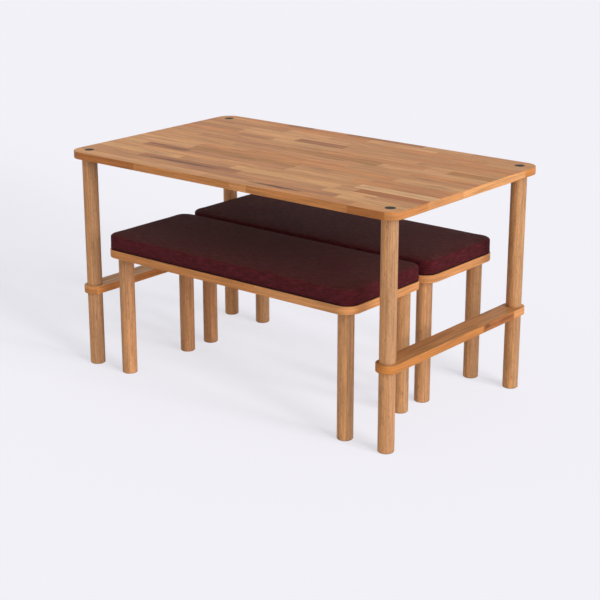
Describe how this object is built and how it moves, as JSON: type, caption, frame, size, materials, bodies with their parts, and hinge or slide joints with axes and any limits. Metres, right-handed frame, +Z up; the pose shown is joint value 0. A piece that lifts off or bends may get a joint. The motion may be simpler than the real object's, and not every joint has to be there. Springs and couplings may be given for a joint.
{
  "type": "dining table and bench set",
  "caption": "Rectangular solid wood dining table on round legs with end stretchers, and upholstered benches that slide under its top.",
  "frame": {"origin": "on the floor, under the middle of the tabletop, with both benches parked under it", "axes": "+X along the table's length, +Y from the front bench towards the rear bench, +Z up"},
  "size_m": [1.31, 0.785, 0.736],
  "materials": {
    "tabletop_wood": "oiled",
    "board_wood": "oiled",
    "leg_wood": "oiled",
    "cap_metal": "satin",
    "insert_brass": "machined",
    "zinc_steel": "zinc plated",
    "glide_plastic": "matt",
    "cover_fabric": "woven",
    "base_fabric": "woven",
    "seat_foam": "open cell"
  },
  "bodies": {
    "table": {"tabletop": "tabletop_wood", "stretcher_left": "board_wood", "stretcher_right": "board_wood", "upper_leg_front_left": "leg_wood", "upper_leg_front_right": "leg_wood", "upper_leg_rear_left": "leg_wood", "upper_leg_rear_right": "leg_wood", "lower_leg_front_left": "leg_wood", "lower_leg_front_right": "leg_wood", "lower_leg_rear_left": "leg_wood", "lower_leg_rear_right": "leg_wood", "tabletop_bolts": "zinc_steel", "tabletop_washers": "zinc_steel", "tabletop_caps": "cap_metal", "upper_leg_head_inserts": "insert_brass", "upper_leg_foot_inserts": "insert_brass", "lower_leg_inserts": "insert_brass", "stretcher_studs": "zinc_steel", "table_glides": "glide_plastic"},
    "bench_front": {"bench_front_board": "board_wood", "bench_front_leg_front_left": "leg_wood", "bench_front_leg_front_right": "leg_wood", "bench_front_leg_rear_left": "leg_wood", "bench_front_leg_rear_right": "leg_wood", "bench_front_bolts": "zinc_steel", "bench_front_washers": "zinc_steel", "bench_front_inserts": "insert_brass", "bench_front_glides": "glide_plastic"},
    "bench_rear": {"bench_rear_board": "board_wood", "bench_rear_leg_front_left": "leg_wood", "bench_rear_leg_front_right": "leg_wood", "bench_rear_leg_rear_left": "leg_wood", "bench_rear_leg_rear_right": "leg_wood", "bench_rear_bolts": "zinc_steel", "bench_rear_washers": "zinc_steel", "bench_rear_inserts": "insert_brass", "bench_rear_glides": "glide_plastic"},
    "cushion_front": {"cushion_front_cover": "cover_fabric", "cushion_front_base_cloth": "base_fabric", "cushion_front_foam": "seat_foam"},
    "cushion_rear": {"cushion_rear_cover": "cover_fabric", "cushion_rear_base_cloth": "base_fabric", "cushion_rear_foam": "seat_foam"}
  },
  "joints": [
    {"name": "bench_front_pull", "type": "slide", "parent": "table", "child": "bench_front", "axis": [0, -1, 0], "range_m": [0, 0.45]},
    {"name": "bench_rear_pull", "type": "slide", "parent": "table", "child": "bench_rear", "axis": [0, 1, 0], "range_m": [0, 0.45]},
    {"name": "cushion_front_lift", "type": "slide", "parent": "bench_front", "child": "cushion_front", "axis": [0, 0, 1], "range_m": [0, 0.15]},
    {"name": "cushion_rear_lift", "type": "slide", "parent": "bench_rear", "child": "cushion_rear", "axis": [0, 0, 1], "range_m": [0, 0.15]}
  ]
}
